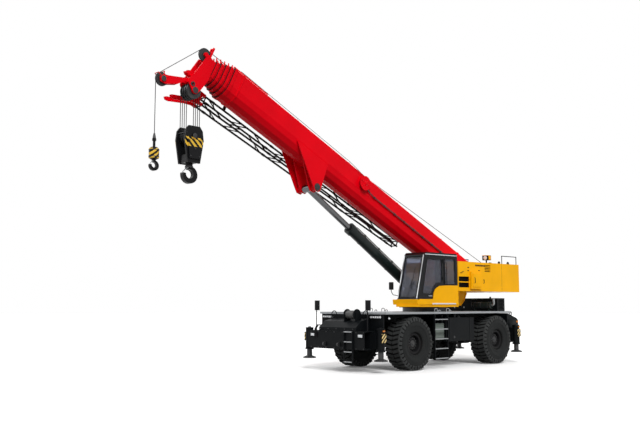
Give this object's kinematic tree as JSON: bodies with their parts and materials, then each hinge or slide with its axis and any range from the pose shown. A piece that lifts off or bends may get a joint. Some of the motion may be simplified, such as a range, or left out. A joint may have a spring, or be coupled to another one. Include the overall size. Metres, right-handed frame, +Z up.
{
  "type": "mobile crane",
  "caption": "Rough-terrain mobile crane with a nested telescopic boom, slewing upper works, steered wheels and sliding outriggers.",
  "frame": {"origin": "on the ground under the slew axis, midway between the axles", "axes": "+X forward along the carrier and the boom, +Y to the left, +Z up"},
  "size_m": [17.2592, 3.58, 10.1535],
  "materials": {
    "carrier_black": "satin",
    "deck_grey": "satin",
    "engine_grey": "matte",
    "step_grey": "satin",
    "lamp_white": "gloss",
    "mirror_black": "matte",
    "ring_steel": "satin",
    "body_yellow": "gloss",
    "drum_steel": "satin",
    "cab_black": "gloss",
    "window_glass": "gloss",
    "seat_black": "matte",
    "boom_red": "gloss",
    "jib_black": "satin",
    "sheave_black": "satin",
    "cylinder_dark": "gloss",
    "rod_chrome": "mirror",
    "hook_black": "satin",
    "jack_steel": "satin",
    "rim_black": "satin",
    "tyre_rubber": "matte"
  },
  "bodies": {
    "carrier": {"chassis": "carrier_black", "deck": "deck_grey", "axles": "carrier_black", "engine": "engine_grey", "engine_hood": "carrier_black", "silencer": "jack_steel", "ladders": "step_grey", "lamps": "lamp_white", "deck_mirrors": "mirror_black", "slew_ring": "ring_steel", "side_tanks": "carrier_black", "front_winch": "carrier_black"},
    "upper": {"turntable": "body_yellow", "counterweight": "body_yellow", "rear_housing": "body_yellow", "roof_fittings": "carrier_black", "winches": "drum_steel", "cab_platform": "body_yellow", "cab_shell": "cab_black", "cab_skirt": "body_yellow", "cab_glass": "window_glass", "cab_seat": "seat_black"},
    "door": {"cab_door": "cab_black", "cab_door_glass": "window_glass"},
    "base_boom": {"boom_base": "boom_red", "fly_jib": "jib_black", "jib_foot": "boom_red"},
    "second": {"boom_section_2": "boom_red"},
    "third": {"boom_section_3": "boom_red"},
    "fourth": {"boom_section_4": "boom_red"},
    "fifth": {"boom_section_5": "boom_red"},
    "tip": {"boom_tip": "boom_red", "head_sheaves": "sheave_black"},
    "barrel": {"luff_barrel": "cylinder_dark"},
    "rod": {"luff_rod": "rod_chrome"},
    "main_block": {"main_hook": "hook_black"},
    "aux_block": {"aux_hook": "hook_black"},
    "outrigger_fl": {"beam_fl": "carrier_black"},
    "jackleg_fl": {"jack_fl": "jack_steel"},
    "steer_fl": {"knuckle_fl": "carrier_black"},
    "wheel_fl": {"rim_fl": "rim_black", "tyre_fl": "tyre_rubber"},
    "outrigger_fr": {"beam_fr": "carrier_black"},
    "jackleg_fr": {"jack_fr": "jack_steel"},
    "steer_fr": {"knuckle_fr": "carrier_black"},
    "wheel_fr": {"rim_fr": "rim_black", "tyre_fr": "tyre_rubber"},
    "outrigger_rl": {"beam_rl": "carrier_black"},
    "jackleg_rl": {"jack_rl": "jack_steel"},
    "steer_rl": {"knuckle_rl": "carrier_black"},
    "wheel_rl": {"rim_rl": "rim_black", "tyre_rl": "tyre_rubber"},
    "outrigger_rr": {"beam_rr": "carrier_black"},
    "jackleg_rr": {"jack_rr": "jack_steel"},
    "steer_rr": {"knuckle_rr": "carrier_black"},
    "wheel_rr": {"rim_rr": "rim_black", "tyre_rr": "tyre_rubber"}
  },
  "joints": [
    {"name": "slew", "type": "hinge", "parent": "carrier", "child": "upper", "pos_m": [0, 0, 2.2], "axis": [0, 0, 1], "continuous": true},
    {"name": "cab_door_hinge", "type": "hinge", "parent": "upper", "child": "door", "pos_m": [0.768, 1.572, 3.5], "axis": [0, 0, 1], "range_deg": [0, 80]},
    {"name": "luff", "type": "hinge", "parent": "upper", "child": "base_boom", "pos_m": [-1.816, 0, 3.625], "axis": [0, -1, 0], "range_deg": [-23, 53]},
    {"name": "luff_barrel_foot", "type": "hinge", "parent": "upper", "child": "barrel", "pos_m": [0, 0, 2.46], "axis": [0, -1, 0], "range_deg": [-24.02, 55.22]},
    {"name": "luff_rod_slide", "type": "slide", "parent": "barrel", "child": "rod", "axis": [0.8531, 0, 0.5217], "range_m": [-0.7406, 1.704]},
    {"name": "main_hook_swing", "type": "hinge", "parent": "tip", "child": "main_block", "pos_m": [11.04666, 0, 8.71819], "axis": [0, -1, 0], "range_deg": [-53.1, 23.1]},
    {"name": "aux_hook_swing", "type": "hinge", "parent": "tip", "child": "aux_block", "pos_m": [12.07191, 0, 8.90939], "axis": [0, -1, 0], "range_deg": [-53.1, 23.1]},
    {"name": "telescope_2", "type": "slide", "parent": "base_boom", "child": "second", "axis": [0.9063, 0, 0.4226], "range_m": [0, 9.6]},
    {"name": "telescope_3", "type": "slide", "parent": "second", "child": "third", "axis": [0.9063, 0, 0.4226], "range_m": [0, 9.6]},
    {"name": "telescope_4", "type": "slide", "parent": "third", "child": "fourth", "axis": [0.9063, 0, 0.4226], "range_m": [0, 9.6]},
    {"name": "telescope_5", "type": "slide", "parent": "fourth", "child": "fifth", "axis": [0.9063, 0, 0.4226], "range_m": [0, 9.6]},
    {"name": "telescope_6", "type": "slide", "parent": "fifth", "child": "tip", "axis": [0.9063, 0, 0.4226], "range_m": [0, 9.6]},
    {"name": "beam_slide_fl", "type": "slide", "parent": "carrier", "child": "outrigger_fl", "axis": [0, 1, 0], "range_m": [0, 2.1]},
    {"name": "jack_slide_fl", "type": "slide", "parent": "outrigger_fl", "child": "jackleg_fl", "axis": [0, 0, -1], "range_m": [0, 0.62]},
    {"name": "steer_turn_fl", "type": "hinge", "parent": "carrier", "child": "steer_fl", "pos_m": [2.5, 0.86, 0.9375], "axis": [0, 0, 1], "range_deg": [-28, 28]},
    {"name": "wheel_roll_fl", "type": "hinge", "parent": "steer_fl", "child": "wheel_fl", "pos_m": [2.5, 1.29, 0.9375], "axis": [0, 1, 0], "continuous": true},
    {"name": "beam_slide_fr", "type": "slide", "parent": "carrier", "child": "outrigger_fr", "axis": [0, -1, 0], "range_m": [0, 2.1]},
    {"name": "jack_slide_fr", "type": "slide", "parent": "outrigger_fr", "child": "jackleg_fr", "axis": [0, 0, -1], "range_m": [0, 0.62]},
    {"name": "steer_turn_fr", "type": "hinge", "parent": "carrier", "child": "steer_fr", "pos_m": [2.5, -0.86, 0.9375], "axis": [0, 0, 1], "range_deg": [-28, 28]},
    {"name": "wheel_roll_fr", "type": "hinge", "parent": "steer_fr", "child": "wheel_fr", "pos_m": [2.5, -1.29, 0.9375], "axis": [0, 1, 0], "continuous": true},
    {"name": "beam_slide_rl", "type": "slide", "parent": "carrier", "child": "outrigger_rl", "axis": [0, 1, 0], "range_m": [0, 2.1]},
    {"name": "jack_slide_rl", "type": "slide", "parent": "outrigger_rl", "child": "jackleg_rl", "axis": [0, 0, -1], "range_m": [0, 0.62]},
    {"name": "steer_turn_rl", "type": "hinge", "parent": "carrier", "child": "steer_rl", "pos_m": [-2.5, 0.86, 0.9375], "axis": [0, 0, 1], "range_deg": [-28, 28]},
    {"name": "wheel_roll_rl", "type": "hinge", "parent": "steer_rl", "child": "wheel_rl", "pos_m": [-2.5, 1.29, 0.9375], "axis": [0, 1, 0], "continuous": true},
    {"name": "beam_slide_rr", "type": "slide", "parent": "carrier", "child": "outrigger_rr", "axis": [0, -1, 0], "range_m": [0, 2.1]},
    {"name": "jack_slide_rr", "type": "slide", "parent": "outrigger_rr", "child": "jackleg_rr", "axis": [0, 0, -1], "range_m": [0, 0.62]},
    {"name": "steer_turn_rr", "type": "hinge", "parent": "carrier", "child": "steer_rr", "pos_m": [-2.5, -0.86, 0.9375], "axis": [0, 0, 1], "range_deg": [-28, 28]},
    {"name": "wheel_roll_rr", "type": "hinge", "parent": "steer_rr", "child": "wheel_rr", "pos_m": [-2.5, -1.29, 0.9375], "axis": [0, 1, 0], "continuous": true}
  ],
  "couplings": [
    {"joint": "luff_barrel_foot", "follows": "luff", "ratio": 1.04},
    {"joint": "luff_rod_slide", "follows": "luff", "m_per_rad": 1.84},
    {"joint": "main_hook_swing", "follows": "luff", "ratio": -1},
    {"joint": "aux_hook_swing", "follows": "luff", "ratio": -1},
    {"joint": "steer_turn_fr", "follows": "steer_turn_fl", "ratio": 1},
    {"joint": "steer_turn_rr", "follows": "steer_turn_rl", "ratio": 1}
  ]
}
